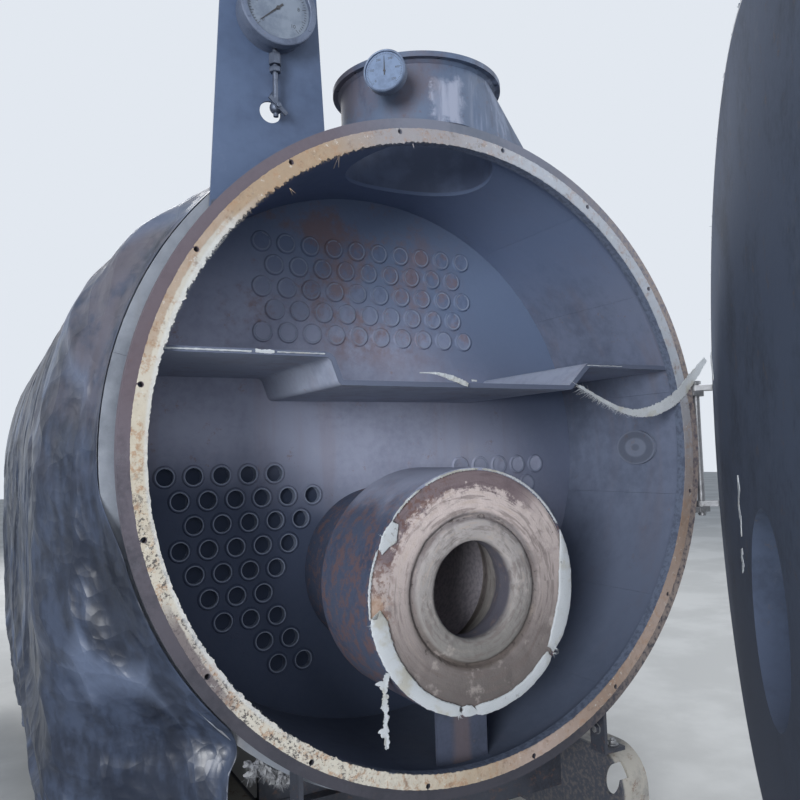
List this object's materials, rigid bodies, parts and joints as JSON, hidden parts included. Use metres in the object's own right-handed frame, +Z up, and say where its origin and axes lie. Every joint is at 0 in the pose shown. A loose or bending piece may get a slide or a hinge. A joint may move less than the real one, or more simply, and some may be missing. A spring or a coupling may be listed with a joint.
{
  "type": "gas-fired fire-tube boiler",
  "caption": "Horizontal three-pass fire-tube boiler on skids, front door standing open on its side hinge, with throat, tube sheet, flue stub, gauges and a loose cover sheet.",
  "frame": {"origin": "centre of the four anchor holes in the undersides of the skids, at floor level", "axes": "+X to the right seen from the front, +Y from the front ring to the rear cover, +Z up"},
  "size_m": [2.2008, 4.8278, 2.6],
  "materials": {
    "ring_steel": "rusty bare plate",
    "gasket_band": "old gasket band, stained",
    "soot_steel": "sooty plate",
    "tube_steel": "sooty tube ends",
    "refractory": "fired castable, stained",
    "white_rope": "woven fibre rope",
    "drum_steel": "scaled plate",
    "jacket_sheet": "dull sheet",
    "flue_steel": "rusty plate",
    "plate_paint": "blue-grey paint",
    "gauge_case": "dull case",
    "cock_brass": "tarnished",
    "skid_paint": "weathered paint",
    "hinge_steel": "worn steel",
    "door_paint": "weathered paint",
    "door_fill": "sooty insulation",
    "cover_film": "black plastic film"
  },
  "bodies": {
    "boiler": {"front_ring": "ring_steel", "ring_gasket": "gasket_band", "smokebox_shell": "soot_steel", "handhole_plate": "soot_steel", "handhole_yoke": "hinge_steel", "smokebox_baffle": "soot_steel", "front_tube_sheet": "soot_steel", "tubes_left": "tube_steel", "tubes_right": "tube_steel", "tubes_top": "tube_steel", "furnace_tube": "soot_steel", "throat_drum": "drum_steel", "throat_refractory": "refractory", "throat_rope": "white_rope", "throat_support": "drum_steel", "boiler_shell": "soot_steel", "rear_tube_sheet": "soot_steel", "rear_chamber_shell": "drum_steel", "rear_cover": "door_paint", "rear_port_cover": "door_paint", "jacket": "jacket_sheet", "jacket_bands": "jacket_sheet", "top_nozzles": "flue_steel", "flue_neck": "flue_steel", "flue_flange": "flue_steel", "flue_thermometer": "gauge_case", "gauge_plate": "plate_paint", "pressure_gauge": "gauge_case", "gauge_cock": "cock_brass", "skid_left": "skid_paint", "skid_right": "skid_paint", "cross_beams": "skid_paint", "saddle_front": "skid_paint", "saddle_rear": "skid_paint", "hinge_lugs": "hinge_steel", "hinge_pin": "hinge_steel", "cover_sheet": "cover_film", "torn_rope": "white_rope", "torn_strip": "white_rope", "front_brackets": "skid_paint"},
    "front_door": {"door_pan": "door_paint", "door_insulation": "door_fill", "burner_flange": "door_paint", "hinge_arms": "hinge_steel", "door_handle": "hinge_steel"}
  },
  "joints": [
    {"name": "door_hinge", "type": "hinge", "parent": "boiler", "child": "front_door", "pos_m": [0.988, -1.636, 1.27], "axis": [0, 0, 1], "range_deg": [-44.5, 70.5]}
  ]
}
